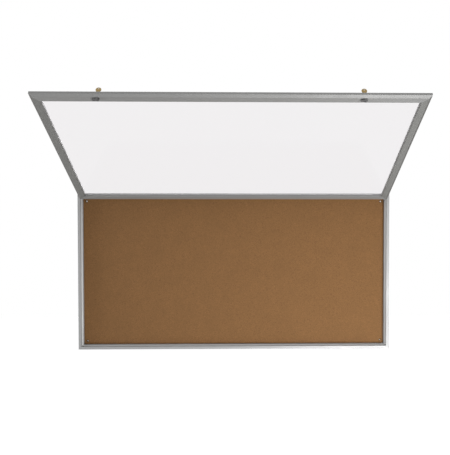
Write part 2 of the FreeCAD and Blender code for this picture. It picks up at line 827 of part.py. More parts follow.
def lock_cam(name):
    """A flat arm towards -X on a round hub with a square hole."""
    body = new_body(name)
    hub = new_sketch(body, f"{name}_hub", "XZ_Plane", -cam_front)
    add_circle(hub, ZERO, ZERO, d.cam_hub_radius)
    pad(body, hub, d.cam_thickness, reverse=True)
    arm = new_sketch(body, f"{name}_arm", "XZ_Plane", -cam_front)
    tip = d.cam_reach - d.cam_arm_radius
    add_rectangle(arm, -tip, -d.cam_arm_radius, ZERO, d.cam_arm_radius)
    pad(body, arm, d.cam_thickness, reverse=True)
    end = new_sketch(body, f"{name}_end", "XZ_Plane", -cam_front)
    add_circle(end, -tip, ZERO, d.cam_arm_radius)
    pad(body, end, d.cam_thickness, reverse=True)
    square = new_sketch(body, f"{name}_square_hole", "XZ_Plane")
    half = d.plug_square / 2 + d.cam_hole_fit
    add_rectangle(square, -half, -half, half, half)
    pocket(body, square)
    return body


def cam_screw(name):
    body = new_body(name)
    profile = new_sketch(body, f"{name}_profile", "XY_Plane")
    head_back = cam_back + d.cam_screw_head
    add_outline(profile, [
        (ZERO, cam_back - d.cam_screw_length),
        (d.cam_screw_radius, cam_back - d.cam_screw_length),
        (d.cam_screw_radius, cam_back),
        (d.cam_screw_head_radius, cam_back),
        (d.cam_screw_head_radius, head_back),
        (ZERO, head_back),
    ])
    revolve(body, profile)
    return body


def key(name):
    """A flat key along Y: round bow with a ring hole, shouldered neck and cut blade."""
    body = new_body(name)
    bow = new_sketch(body, f"{name}_bow", "XY_Plane")
    add_circle(bow, ZERO, -d.key_bow_distance, d.key_bow_radius)
    bow_pad = pad(body, bow, d.key_thickness, symmetric=True)

    def bow_rim(edge):
        return isinstance(edge.Curve, Part.Circle)

    round_edges(body, bow_pad, bow_rim, d.key_bevel, "PartDesign::Chamfer")
    neck = new_sketch(body, f"{name}_neck", "XY_Plane")
    shoulder = plug_front - d.key_lift
    add_rectangle(neck, -d.key_neck_width / 2, -d.key_bow_distance, d.key_neck_width / 2, shoulder)
    pad(body, neck, d.key_thickness, symmetric=True)
    blade = new_sketch(body, f"{name}_blade", "XY_Plane")
    half = d.key_blade_width / 2
    tip = d.key_blade_length
    add_outline(blade, [
        (-half, -d.key_bow_distance),
        (half, -d.key_bow_distance),
        (half, tip - half),
        (ZERO, tip),
        (-half, tip - half / 2),
    ])
    pad(body, blade, d.key_thickness, symmetric=True)
    ring_hole = new_sketch(body, f"{name}_ring_hole", "XY_Plane")
    hole_y = -d.key_bow_distance - d.key_bow_radius / 2
    add_circle(ring_hole, ZERO, hole_y, d.key_ring_hole_radius)
    pocket(body, ring_hole)
    cuts = new_sketch(body, f"{name}_cuts", "XY_Plane")
    for i in range(KEY_CUTS):
        middle = d.key_cut_pitch * i + d.key_cut_pitch / 2
        depth = d.key_shallow_cut if i % 2 else d.key_deep_cut
        spread = d.key_cut_width / 2
        add_outline(cuts, [(half, middle - spread), (half, middle + spread), (half - depth, middle)])
    pocket(body, cuts)
    return body


for side, x in (("left", -lock_x), ("right", lock_x)):
    at = turned(Y_AXIS, 0, Vector(x.value, front.value, lock_z.value))
    nut_at = Vector(x.value, cover_back.value, lock_z.value)
    nut_turn = turned(X_AXIS, -90, nut_at)
    keep(lock_barrel(f"{side}_lock_barrel"), at, on_cover=True)
    keep(lock_nut(f"{side}_lock_nut"), nut_turn, on_cover=True)
    keep(lock_plug(f"{side}_lock_plug"), at, on_cover=True)
    keep(lock_cam(f"{side}_lock_cam"), at, on_cover=True)
    keep(cam_screw(f"{side}_cam_screw"), at, on_cover=True)
    keep(key(f"{side}_key"), at, on_cover=True)

doc.recompute()

# Every object has to be sound before anything is written

for item in doc.Objects:
    if "Invalid" in item.State or "Error" in item.State:
        raise RuntimeError(f"{item.Name} failed: {item.State}")
for piece in kept:
    if piece.Shape.isNull() or not piece.Shape.isValid():
        raise RuntimeError(f"{piece.Label} has no valid shape")

os.makedirs("parts", exist_ok=True)
for piece in kept:
    piece.Shape.exportStep(f"parts/{piece.Label}.step")
print(len(kept), "pieces written")
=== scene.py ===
"""Looks of a lockable notice board: finishes for its metal, cork, rubber and clear sheet, the small
fittings whose shape is finer than the frame's own, and the studio that it is shown in."""

import json
import math

import bmesh
import bpy
from bpy.props import FloatProperty, FloatVectorProperty, IntProperty, PointerProperty
from mathutils import Matrix, Vector


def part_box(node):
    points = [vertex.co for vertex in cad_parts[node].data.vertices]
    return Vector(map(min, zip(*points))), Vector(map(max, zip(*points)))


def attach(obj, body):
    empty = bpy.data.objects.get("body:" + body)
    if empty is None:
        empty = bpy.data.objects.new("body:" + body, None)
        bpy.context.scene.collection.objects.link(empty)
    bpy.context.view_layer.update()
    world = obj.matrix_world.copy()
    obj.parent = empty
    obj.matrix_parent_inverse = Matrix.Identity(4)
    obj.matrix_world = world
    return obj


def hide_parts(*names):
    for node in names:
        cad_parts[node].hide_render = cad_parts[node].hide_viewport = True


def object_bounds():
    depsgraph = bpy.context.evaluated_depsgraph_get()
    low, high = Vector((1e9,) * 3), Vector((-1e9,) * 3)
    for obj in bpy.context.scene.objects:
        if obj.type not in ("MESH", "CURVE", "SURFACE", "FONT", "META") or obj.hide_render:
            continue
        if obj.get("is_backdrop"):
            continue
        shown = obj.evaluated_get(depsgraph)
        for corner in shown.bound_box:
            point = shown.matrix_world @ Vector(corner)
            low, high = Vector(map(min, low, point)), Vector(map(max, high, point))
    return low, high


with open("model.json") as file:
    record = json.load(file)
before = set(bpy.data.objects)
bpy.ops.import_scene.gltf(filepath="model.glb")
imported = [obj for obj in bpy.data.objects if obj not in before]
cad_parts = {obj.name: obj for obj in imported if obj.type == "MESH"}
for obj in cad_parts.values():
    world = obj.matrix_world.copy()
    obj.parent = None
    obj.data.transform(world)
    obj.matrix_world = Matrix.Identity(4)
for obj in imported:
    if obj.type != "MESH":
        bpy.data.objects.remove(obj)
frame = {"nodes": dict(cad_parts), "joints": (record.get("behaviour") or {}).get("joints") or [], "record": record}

bl_info = {
    "name": "Lockable Notice Board",
    "version": (1, 0, 0),
    "blender": (4, 5, 0),
    "location": "View3D > Sidebar > Notice Board",
    "description": "Finishes and fine fittings of a wall-hung notice board with a lockable cover",
    "category": "Object",
}

MM = 0.001
SAME_POINT = 0.001 * MM
BEVEL_ANGLE = math.radians(40)
BEVEL_SEGMENTS = 2
SHARP_ANGLE = math.radians(32)
NUT_CHAMFER = math.radians(30)
JOINTS = {joint["name"]: joint for joint in frame["joints"]}
MOUNTS = {mount["name"]: mount for mount in frame["record"]["mounts"]}
HINGE_POINT = Vector(JOINTS["cover_hinge"]["pos_m"])
OUTWARD = Vector(JOINTS["left_lock_turn"]["axis"])
OPENING = math.atan2(OUTWARD.z, -OUTWARD.y)
TURN_OPEN = Matrix.Rotation(-OPENING, 4, "X")
SWING = Matrix.Translation(HINGE_POINT) @ TURN_OPEN @ Matrix.Translation(-HINGE_POINT)
SIDES = ("left", "right")
RAILS = ("top", "bottom", "left", "right")


# Settings

def colour(name, description, default):
    return FloatVectorProperty(
        name=name, description=description, default=default, subtype="COLOR", min=0.0, max=1.0
    )


def length(name, description, default_mm):
    return FloatProperty(
        name=name, description=description, default=default_mm * MM, min=0.0, subtype="DISTANCE",
        unit="LENGTH",
    )


def fraction(name, description, default):
    return FloatProperty(
        name=name, description=description, default=default, min=0.0, max=1.0, subtype="FACTOR"
    )


def watts(name, description, default):
    return FloatProperty(name=name, description=description, default=default, min=0.0, unit="POWER")


def degrees(name, description, default_degrees):
    return FloatProperty(
        name=name, description=description, default=math.radians(default_degrees), subtype="ANGLE"
    )


def spot(name, description, default):
    return FloatVectorProperty(
        name=name, description=description, default=default, subtype="TRANSLATION"
    )


class FinishSettings(bpy.types.PropertyGroup):
    """Colours and surface sizes of the board's materials."""

    cork_light: colour("Cork, light", "Palest cork granules", (0.318, 0.159, 0.054))
    cork_mid: colour("Cork", "Most of the cork", (0.248, 0.120, 0.038))
    cork_dark: colour("Cork, dark", "Bark specks in the cork", (0.12, 0.05, 0.02))
    cork_granule: length("Cork granule", "Size of a cork granule", 1.6)
    softboard: colour("Softboard", "Fibre core behind the cork", (0.30, 0.21, 0.13))
    case_metal: colour("Case metal", "Satin extrusions of the case", (0.36, 0.36, 0.36))
    # The cover's rails are the case's anodising painted darker: painted shade, deepest on the side rails.
    cover_level_painted_shade: colour("Cover's level rails", "Extrusions lit along their grain", (0.275, 0.275, 0.27))
    cover_upright_painted_shade: colour("Cover's side rails", "Extrusions lit across their grain", (0.20, 0.20, 0.191))
    hinge: colour("Hinge", "Hinge leaves", (0.50, 0.50, 0.488))
    galvanised: colour("Galvanised sheet", "Back sheet", (0.45, 0.47, 0.49))
    zinc: colour("Zinc plate", "Cleats and hinge screws", (0.48, 0.49, 0.50))
    nickel: colour("Nickel plate", "Lock barrels", (0.52, 0.50, 0.46))
    dark_zinc: colour("Dark zinc", "Nuts, cams and cam screws of the locks", (0.15, 0.15, 0.155))
    bronze: colour("Dark bronze", "Eyelets in the cork", (0.15, 0.088, 0.045))
    brass: colour("Brass", "Plugs and keys", (0.27, 0.205, 0.095))
    steel: colour("Drawn steel", "Hinge pin", (0.50, 0.50, 0.50))
    pane: colour("Clear sheet", "Tint of the glazing", (0.882, 0.867, 0.875))
    pane_index: FloatProperty(
        name="Clear sheet's index", description="Refraction of the glazing, low so that it mirrors little",
        default=1.1, min=1.0,
    )
    metal_share: fraction("Metal in the anodising", "How far the extrusions shine as metal", 0.3)
    gasket: colour("Gasket", "Glazing rubber", (0.72, 0.72, 0.73))
    # The seal is real dark rubber; its dark colour also stands for the shade on the cover's bevels: partly painted
    # shade.
    seal: colour("Seal", "Sealing strip", (0.08, 0.074, 0.068))


class DetailSettings(bpy.types.PropertyGroup):
    """Fine shapes that the frame leaves plain."""

    rail_bevel: length("Rail edges", "Rounding of the extrusions' edges and mitres", 0.25)
    hinge_bevel: length("Hinge edges", "Rounding of the leaves and knuckles", 0.12)
    fitting_bevel: length("Fitting edges", "Rounding of cams, cleats, plugs and keys", 0.15)
    groove_depth: length("Groove", "Depth of the glazing groove that hides the gasket", 6.0)
    gasket_show: length("Gasket", "Gasket standing out of its groove", 0.6)
    pane_margin: length("Sheet edge", "From the glazing's edge to the bottom of its groove", 1.0)
    seal_width: length("Seal", "Width of the sealing strip", 6.0)
    seal_thickness: length("Seal thickness", "Sealing strip on the cover's bevel", 0.55)
    eyelet_wall: length("Eyelet wall", "Wall of an eyelet's tube", 0.75)
    leaf_screw_head: length("Hinge screw head", "Height of a hinge screw's head", 0.8)
    cam_screw_head: length("Cam screw head", "Height of a cam screw's head", 1.5)
    screw_shank: length("Screw shank", "Radius of the hinge and cam screws' shanks", 1.2)
    barrel_radius: length("Barrel", "Radius of a lock barrel over its thread", 5.0)
    barrel_pitch: length("Barrel thread", "Pitch of a lock barrel's thread", 1.0)
    barrel_chamfer: length("Barrel chamfer", "Chamfer round the plug in a lock barrel's face", 0.5)
    barrel_fit: length("Barrel bore", "Between the plug and the barrel", 0.1)
    nut_fit: length("Nut bore", "Between a lock nut and the barrel", 0.05)
    turn_steps: IntProperty(
        name="Round steps", description="Segments round a turned fitting", default=48, min=12, max=128
    )


class StageSettings(bpy.types.PropertyGroup):
    """Floor, lights and camera."""

    floor_drop: length("Floor below the board", "From the board's lowest point to the floor", 1150.0)
    floor_size: length("Floor size", "Side of the square floor", 14000.0)
    floor_light: colour("Floor, light", "Palest grain of the floor", (0.93, 0.93, 0.93))
    floor_dark: colour("Floor, dark", "Darkest grain of the floor", (0.90, 0.90, 0.90))
    floor_glow: fraction("Floor glow", "How far the floor is lifted to white where it is seen", 0.78)
    patch_glow: fraction("Patch glow", "Glow of the weaker patch below the board where it is seen", 0.48)
    # Metal and glass mirror the floor darker in this patch: painted shade in their reflections.
    patch_mirrored_painted_shade: fraction("Mirrored patch", "Glow of the patch in metal or glass that mirrors it", 0.2)
    patch_at: FloatVectorProperty(
        name="Patch at", description="X and Y of the middle of the patch below the board", size=2,
        default=(-0.6, 0.0), unit="LENGTH",
    )
    patch_inner: length("Patch inside", "Radius of the patch at its full depth", 900.0)
    patch_outer: length("Patch outside", "Radius at which the patch has faded out", 1400.0)
    ambient: fraction("Ambient", "Strength of the room's light", 0.19)
    key_power: watts("Key light", "Power of the lamp low on the right", 24.3)
    key_at: spot("Key light at", "Middle of the lamp low on the right", (0.88, -1.42, -0.52))
    key_size: length("Key light size", "Side of the lamp low on the right", 1000.0)
    fill_power: watts("Fill light", "Power of the lamp high in front", 18.0)
    fill_at: spot("Fill light at", "Middle of the lamp high in front", (0.0, -2.0, 2.6))
    fill_size: length("Fill light size", "Side of the lamp high in front", 3000.0)
    side_power: watts("Side light", "Power of the lamp far on the left", 115.0)
    side_at: spot("Side light at", "Middle of the lamp far on the left", (-5.0, -0.9, 0.1))
    side_size: length("Side light size", "Side of the lamp far on the left", 2000.0)
    focal_length: FloatProperty(
        name="Focal length", description="In millimetres on a 36 mm frame", default=43.08, min=10.0
    )
    camera_at: spot("Camera", "Where the camera stands", (0.0279, -2.1344, 0.2083))
    camera_tilt: degrees("Tilt", "Camera's look down", 1.398)
    camera_turn: degrees("Turn", "Camera's look to the right", 1.083)
    frame_shift: FloatVectorProperty(
        name="Shift", description="Of the picture's centre from the lens axis", size=2,
        default=(-0.05892, 0.00763),
    )


# Node trees

def add_node(tree, kind, inputs=(), **settings):
    """A node with its settings. Each input is a value, or a socket to be linked."""
    node = tree.nodes.new(kind)
    for name, value in settings.items():
        setattr(node, name, value)
    for name, value in dict(inputs).items():
        if isinstance(value, bpy.types.NodeSocket):
            tree.links.new(value, node.inputs[name])
        else:
            node.inputs[name].default_value = value
    return node


def new_finish(name, roughness, metallic=0.0):
    """A material with a plain shader, whose tree the finish functions fill."""
    material = bpy.data.materials.new(name)
    material.use_nodes = True
    shader = material.node_tree.nodes["Principled BSDF"]
    shader.inputs["Metallic"].default_value = metallic
    shader.inputs["Roughness"].default_value = roughness
    return material, material.node_tree, shader


def opaque(rgb, gain=1.0):
    return (rgb[0] * gain, rgb[1] * gain, rgb[2] * gain, 1.0)


def surface_coordinates(tree, stretch=(1.0, 1.0, 1.0), turn=0.0):
    """Coordinates fixed to the piece, turned about X and then stretched."""
    place = add_node(tree, "ShaderNodeTexCoord").outputs["Object"]
    if turn:
        place = add_node(
            tree, "ShaderNodeVectorRotate", {"Vector": place, "Angle": turn}, rotation_type="X_AXIS"
        ).outputs["Vector"]
    return add_node(tree, "ShaderNodeMapping", {"Vector": place, "Scale": stretch}).outputs["Vector"]


def noise(tree, vector, scale, detail=3.0, roughness=0.5):
    inputs = {"Vector": vector, "Scale": scale, "Detail": detail, "Roughness": roughness}
    return add_node(tree, "ShaderNodeTexNoise", inputs).outputs["Fac"]


def combine(tree, operation, first, second):
    """A sum, product or the like of two values or sockets."""
    return add_node(tree, "ShaderNodeMath", {0: first, 1: second}, operation=operation).outputs["Value"]


def colour_part(tree, colour_socket, part):
    return add_node(tree, "ShaderNodeSeparateColor", {"Color": colour_socket}).outputs[part]


def ramp(tree, factor, *stops):
    """A colour ramp through (position, colour) stops."""
    node = add_node(tree, "ShaderNodeValToRGB", {"Fac": factor})
    elements = node.color_ramp.elements
    while len(elements) < len(stops):
        elements.new(0.5)
    for element, (position, rgba) in zip(elements, stops):
        element.position = position
        element.color = rgba
    return node.outputs["Color"]


def spread(tree, value, low, high):
    """Maps 0..1 to low..high."""
    return add_node(
        tree, "ShaderNodeMapRange", {"Value": value, "To Min": low, "To Max": high}
    ).outputs["Result"]


def tint(tree, base, over, amount):
    """Lays one colour over another. amount is a value or a socket.

    The node's sockets for colours share their names with those for numbers, so that they go by index.
    """
    node = add_node(tree, "ShaderNodeMix", data_type="RGBA")
    for index, value in ((0, amount), (6, base), (7, over)):
        if isinstance(value, bpy.types.NodeSocket):
            tree.links.new(value, node.inputs[index])
        else:
            node.inputs[index].default_value = value
    return node.outputs[2]


def relief(tree, shader, height, depth, strength):
    """Bump on the shader, depth metres high."""
    bump = add_node(tree, "ShaderNodeBump", {"Height": height, "Distance": depth, "Strength": strength})
    tree.links.new(bump.outputs["Normal"], shader.inputs["Normal"])


def ray_kinds(tree, *kinds):
    """1 for rays of the named kinds, such as Camera or Glossy, else 0."""
    path = add_node(tree, "ShaderNodeLightPath")
    found = 0.0
    for kind in kinds:
        found = combine(tree, "MAXIMUM", found, path.outputs[f"Is {kind} Ray"])
    return found


# Finishes. The scales of their noise and cells are per metre of the piece.

# Noise stretched like this draws the die lines of an extrusion.
ACROSS = 1100.0
ALONG = 3.0


def anodised_finish(name, rgb, metal_share, upright=False, turn=0.0, roughness=0.50):
    """Satin anodised extrusion with fine die lines along its length and faint handling marks."""
    material, tree, shader = new_finish(name, roughness, metallic=metal_share)
    stretch = (ACROSS, ACROSS, ALONG) if upright else (ALONG, ACROSS, ACROSS)
    lines = noise(tree, surface_coordinates(tree, stretch, turn), 1.0, detail=2.0)
    patches = noise(tree, surface_coordinates(tree), 14.0, detail=4.0)
    metal = ramp(tree, lines, (0.3, opaque(rgb, 0.93)), (0.7, opaque(rgb, 1.05)))
    worn = tint(tree, metal, opaque(rgb, 0.80), spread(tree, patches, 0.0, 0.35))
    tree.links.new(worn, shader.inputs["Base Color"])
    rough = spread(tree, patches, roughness - 0.06, roughness + 0.10)
    tree.links.new(rough, shader.inputs["Roughness"])
    relief(tree, shader, lines, 0.01 * MM, 0.3)
    return material


def cork_finish(finish):
    """Fine agglomerated cork: packed granules, a few of them bark, with tiny pits between them."""
    material, tree, shader = new_finish("cork", 0.92)
    place = surface_coordinates(tree)
    wander = noise(tree, place, 260.0, detail=2.0)
    warped = add_node(
        tree, "ShaderNodeVectorMath", {0: wander, 1: (0.9 * MM,) * 3, 2: place}, operation="MULTIPLY_ADD"
    ).outputs["Vector"]
    cells = add_node(tree, "ShaderNodeTexVoronoi", {"Vector": warped, "Scale": 1.0 / finish.cork_granule})
    tone = colour_part(tree, cells.outputs["Color"], "Red")
    granules = ramp(
        tree, tone,
        (0.0, opaque(finish.cork_dark)), (0.10, opaque(finish.cork_mid, 0.80)),
        (0.55, opaque(finish.cork_mid)), (1.0, opaque(finish.cork_light)),
    )
    fine = noise(tree, place, 2600.0, detail=3.0)
    grained = tint(tree, granules, opaque(finish.cork_dark), spread(tree, fine, 0.0, 0.28))
    broad = noise(tree, place, 18.0, detail=3.0)
    mottled = tint(tree, grained, opaque(finish.cork_mid, 0.7), spread(tree, broad, 0.0, 0.60))
    tree.links.new(mottled, shader.inputs["Base Color"])
    gaps = spread(tree, cells.outputs["Distance"], 1.0, 0.0)
    relief(tree, shader, combine(tree, "ADD", gaps, fine), 0.25 * MM, 0.6)
    shader.inputs["Sheen Weight"].default_value = 0.05
    return material


def softboard_finish(finish):
    """Pressed fibre with a matted, slightly hairy edge."""
    material, tree, shader = new_finish("softboard", 0.95)
    fibres = noise(tree, surface_coordinates(tree, (1.0, 4.0, 1.0)), 700.0, detail=5.0, roughness=0.7)
    rgb = finish.softboard
    shade = ramp(tree, fibres, (0.35, opaque(rgb, 0.7)), (0.65, opaque(rgb, 1.2)))
    tree.links.new(shade, shader.inputs["Base Color"])
    relief(tree, shader, fibres, 0.3 * MM, 0.7)
    return material


def galvanised_finish(finish):
    """Hot-dip zinc with its crystals, each reflecting a little differently."""
    material, tree, shader = new_finish("galvanised", 0.42, metallic=0.9)
    place = surface_coordinates(tree)
    crystals = add_node(tree, "ShaderNodeTexVoronoi", {"Vector": place, "Scale": 80.0})
    tone = colour_part(tree, crystals.outputs["Color"], "Green")
    rgb = finish.galvanised
    shade = ramp(tree, tone, (0.0, opaque(rgb, 0.8)), (1.0, opaque(rgb, 1.15)))
    tree.links.new(shade, shader.inputs["Base Color"])
    tree.links.new(spread(tree, tone, 0.30, 0.52), shader.inputs["Roughness"])
    relief(tree, shader, noise(tree, place, 900.0), 0.03 * MM, 0.4)
    return material


def plated_finish(name, rgb, roughness, cast=(0.9, 0.97, 1.05)):
    """Bright plating with a faint cloudy film, whose colour is the metal's times the cast."""
    cloud = 0.15
    material, tree, shader = new_finish(name, roughness, metallic=1.0)
    place = surface_coordinates(tree)
    film = noise(tree, place, 420.0, detail=4.0)
    shifted = (rgb[0] * cast[0], rgb[1] * cast[1], rgb[2] * cast[2])
    shade = ramp(tree, film, (0.35, opaque(rgb)), (0.7, opaque(shifted, 1.0 - cloud)))
    tree.links.new(shade, shader.inputs["Base Color"])
    tree.links.new(spread(tree, film, roughness, roughness + cloud), shader.inputs["Roughness"])
    relief(tree, shader, noise(tree, place, 3000.0), 0.01 * MM, 0.5)
    return material


def brass_finish(finish):
    """Tumbled brass, browner in the hollows of its fine scratches."""
    material, tree, shader = new_finish("brass", 0.32, metallic=1.0)
    place = surface_coordinates(tree, (900.0, 900.0, 90.0))
    scratches = noise(tree, place, 1.0, detail=4.0, roughness=0.6)
    rgb = finish.brass
    tarnish = (rgb[0] * 0.62, rgb[1] * 0.52, rgb[2] * 0.45, 1.0)
    shade = ramp(tree, scratches, (0.32, tarnish), (0.62, opaque(rgb)))
    tree.links.new(shade, shader.inputs["Base Color"])
    tree.links.new(spread(tree, scratches, 0.48, 0.24), shader.inputs["Roughness"])
    relief(tree, shader, scratches, 0.02 * MM, 0.6)
    return material


def clear_finish(finish):
    """Clear plastic sheet with faint wipe marks."""
    material, tree, shader = new_finish("clear_sheet", 0.03)
    shader.inputs["Base Color"].default_value = opaque(finish.pane)
    shader.inputs["Transmission Weight"].default_value = 1.0
    shader.inputs["IOR"].default_value = finish.pane_index
    place = surface_coordinates(tree, (6.0, 60.0, 60.0))
    wipes = noise(tree, place, 1.0, detail=5.0, roughness=0.65)
    tree.links.new(spread(tree, wipes, 0.015, 0.06), shader.inputs["Roughness"])
    return material


def rubber_finish(name, rgb, roughness):
    """Extruded rubber with a dusty bloom."""
    material, tree, shader = new_finish(name, roughness)
    place = surface_coordinates(tree)
    bloom = noise(tree, place, 160.0, detail=4.0)
    shade = ramp(tree, bloom, (0.35, opaque(rgb, 0.85)), (0.7, opaque(rgb, 1.15)))
    tree.links.new(shade, shader.inputs["Base Color"])
    tree.links.new(spread(tree, bloom, roughness - 0.1, roughness + 0.1), shader.inputs["Roughness"])
    relief(tree, shader, noise(tree, place, 2400.0), 0.03 * MM, 0.5)
    shader.inputs["Sheen Weight"].default_value = 0.15
    return material


def finish_node(material, *nodes):
    """Gives the frame's own nodes a material in place of their plain one."""
    for node in nodes:
        for material_slot in frame["nodes"][node].material_slots:
            material_slot.material = material


def soften(width, *nodes):
    """Rounds the sharp edges of the frame's own nodes by a modifier."""
    for node in nodes:
        target = frame["nodes"][node]
        weld = target.modifiers.new("weld", "WELD")
        weld.merge_threshold = SAME_POINT
        bevel = target.modifiers.new("edges", "BEVEL")
        bevel.width = width
        bevel.segments = BEVEL_SEGMENTS
        bevel.limit_method = "ANGLE"
        bevel.angle_limit = BEVEL_ANGLE
        bevel.harden_normals = True


# Mesh helpers

def solids_of(node, shut=False):
    """The boxes of a node's separate solids, lowest x first, at rest or with the cover shut."""
    mesh = bmesh.new()
    mesh.from_mesh(frame["nodes"][node].data)
    if shut:
        mesh.transform(SWING.inverted())
    bmesh.ops.remove_doubles(mesh, verts=mesh.verts, dist=SAME_POINT)
    unseen = set(mesh.verts)
    boxes = []
    while unseen:
        solid = []
        edge = [unseen.pop()]
        while edge:
            vert = edge.pop()
            solid.append(vert.co.copy())
            near = {link.other_vert(vert) for link in vert.link_edges} & unseen
            unseen -= near
            edge.extend(near)
        boxes.append((Vector(map(min, *solid)), Vector(map(max, *solid))))
    mesh.free()
    return sorted(boxes, key=lambda box: tuple(box[0]))


def add_piece(name, mesh, body, slot, material, *nodes, swung=False):
    """Makes a piece of a finished mesh. It rides on the body and stands for the nodes."""
    if swung:
        mesh.transform(SWING)
    bmesh.ops.recalc_face_normals(mesh, faces=mesh.faces)
    data = bpy.data.meshes.new(name)
    mesh.to_mesh(data)
    mesh.free()
    data.shade_smooth()
    data.set_sharp_from_angle(angle=SHARP_ANGLE)
    data.materials.append(material)
    piece = bpy.data.objects.new(name, data)
    bpy.context.scene.collection.objects.link(piece)
    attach(piece, body)
    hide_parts(*nodes)


def spin_profile(mesh, profile, place, steps, closed=False):
    """Turns a profile of (radius, height) points about the Z axis of place."""
    rings = []
    for radius, height in profile:
        count = steps if radius > 0 else 1
        ring = []
        for i in range(count):
            angle = 2 * math.pi * i / steps
            point = Vector((radius * math.cos(angle), radius * math.sin(angle), height))
            ring.append(mesh.verts.new(place @ point))
        rings.append(ring)
    pairs = list(zip(rings, rings[1:]))
    if closed:
        pairs.append((rings[-1], rings[0]))
    for lower, upper in pairs:
        join_rings(mesh, lower, upper)
    return rings


def join_rings(mesh, lower, upper):
    """Faces between two rings of points, either of which may be a single point."""
    steps = max(len(lower), len(upper))
    for i in range(steps):
        following = (i + 1) % steps
        corners = [lower[i % len(lower)], lower[following % len(lower)]]
        corners += [upper[following % len(upper)], upper[i % len(upper)]]
        mesh.faces.new(list(dict.fromkeys(corners)))


def rounded(radius, start, end, centre, steps=5):
    """Points of an arc about centre from the start to the end angle, in degrees."""
    points = []
    for i in range(steps + 1):
        angle = math.radians(start + (end - start) * i / steps)
        points.append((centre[0] + radius * math.cos(angle), centre[1] + radius * math.sin(angle)))
    return points


def cross_recess(mesh, rim, place, height, reach, arm, depth):
    """Closes the rim ring of a screw's head with a flat that has a tapering cross cut into it."""
    outline = []
    for quarter in range(4):
        turn = Matrix.Rotation(quarter * math.pi / 2, 4, "Z")
        for x, y in ((reach, -arm), (reach, arm), (arm, arm)):
            outline.append(turn @ Vector((x, y, 0)))
    top = [mesh.verts.new(place @ (point + Vector((0, 0, height)))) for point in outline]
    low = [mesh.verts.new(place @ (point * 0.55 + Vector((0, 0, height - depth)))) for point in outline]
    join_rings(mesh, top, low)
    mesh.faces.new(low)
    edges = []
    for ring in (rim, top):
        for first, second in zip(ring, ring[1:] + ring[:1]):
            edges.append(mesh.edges.get((first, second)) or mesh.edges.new((first, second)))
    bmesh.ops.triangle_fill(mesh, use_beauty=True, edges=edges)


def pan_screw(mesh, place, head_radius, head_height, shank_radius, shank_length, steps):
    """A pan-head screw with a cross recess. Its shank goes along -Z of place, its head along +Z."""
    crown = head_radius * 0.55
    profile = [
        (0, -shank_length), (shank_radius * 0.5, -shank_length), (shank_radius, -shank_length * 0.8),
        (shank_radius, 0), (head_radius, 0), (head_radius, head_height * 0.35),
        (head_radius * 0.93, head_height * 0.66), (head_radius * 0.78, head_height * 0.88),
        (crown, head_height),
    ]
    rings = spin_profile(mesh, profile, place, steps)
    cross_recess(mesh, rings[-1], place, head_height, crown * 0.86, crown * 0.2, head_height * 0.6)


def frame_loop(mesh, profile, low, high, path):
    """Sweeps a profile of (inset, y) points along the sides of a flat frame with mitred corners.

    low and high are the frame's outer corners. path lists corner letters such as "bl" for bottom left;
    it is closed if its last corner is its first.
    """
    closed = path[0] == path[-1]
    rings = []
    for corner in path[:-1] if closed else path:
        ring = []
        for inset, y in profile:
            x = low.x + inset if "l" in corner else high.x - inset
            z = low.z + inset if "b" in corner else high.z - inset
            ring.append(mesh.verts.new((x, y, z)))
        rings.append(ring)
    pairs = list(zip(rings, rings[1:]))
    if closed:
        pairs.append((rings[-1], rings[0]))
    else:
        mesh.faces.new(rings[0])
        mesh.faces.new(list(reversed(rings[-1])))
    for first, second in pairs:
        join_rings(mesh, first, second)


def facing(centre, outward=True):
    """Places a fitting drawn along Z so that its +Z end points out of the front, or into the board."""
    turn = Matrix.Rotation(math.pi / 2 if outward else -math.pi / 2, 4, "X")
    return Matrix.Translation(centre) @ turn


# Operators: one for each piece or group of like pieces

class NOTICEBOARD_OT_case(bpy.types.Operator):
    """Finish the case's rails, and the corner cleats of the case and the cover"""

    bl_idname = "noticeboard.case"
    bl_label = "Case Rails"

    def execute(self, context):
        scene = context.scene
        finish = scene.noticeboard_finish
        detail = scene.noticeboard_detail
        rgb, metal = finish.case_metal, finish.metal_share
        level = anodised_finish("case_level_anodised", rgb, metal, roughness=0.40)
        upright = anodised_finish("case_upright_anodised", rgb, metal, upright=True, roughness=0.47)
        finish_node(level, "case_top_rail", "case_bottom_rail")
        finish_node(upright, "case_left_rail", "case_right_rail")
        soften(detail.rail_bevel, *(f"case_{side}_rail" for side in RAILS))
        cleats = ("case_corner_cleats", "cover_corner_cleats")
        finish_node(plated_finish("cleat_zinc", finish.zinc, 0.35), *cleats)
        soften(detail.fitting_bevel, *cleats)
        return {"FINISHED"}


class NOTICEBOARD_OT_panel(bpy.types.Operator):
    """Finish the cork, its core and the sheet behind them"""

    bl_idname = "noticeboard.panel"
    bl_label = "Cork Panel"

    def execute(self, context):
        finish = context.scene.noticeboard_finish
        finish_node(cork_finish(finish), "cork_sheet")
        finish_node(softboard_finish(finish), "board_core")
        finish_node(galvanised_finish(finish), "back_sheet")
        return {"FINISHED"}


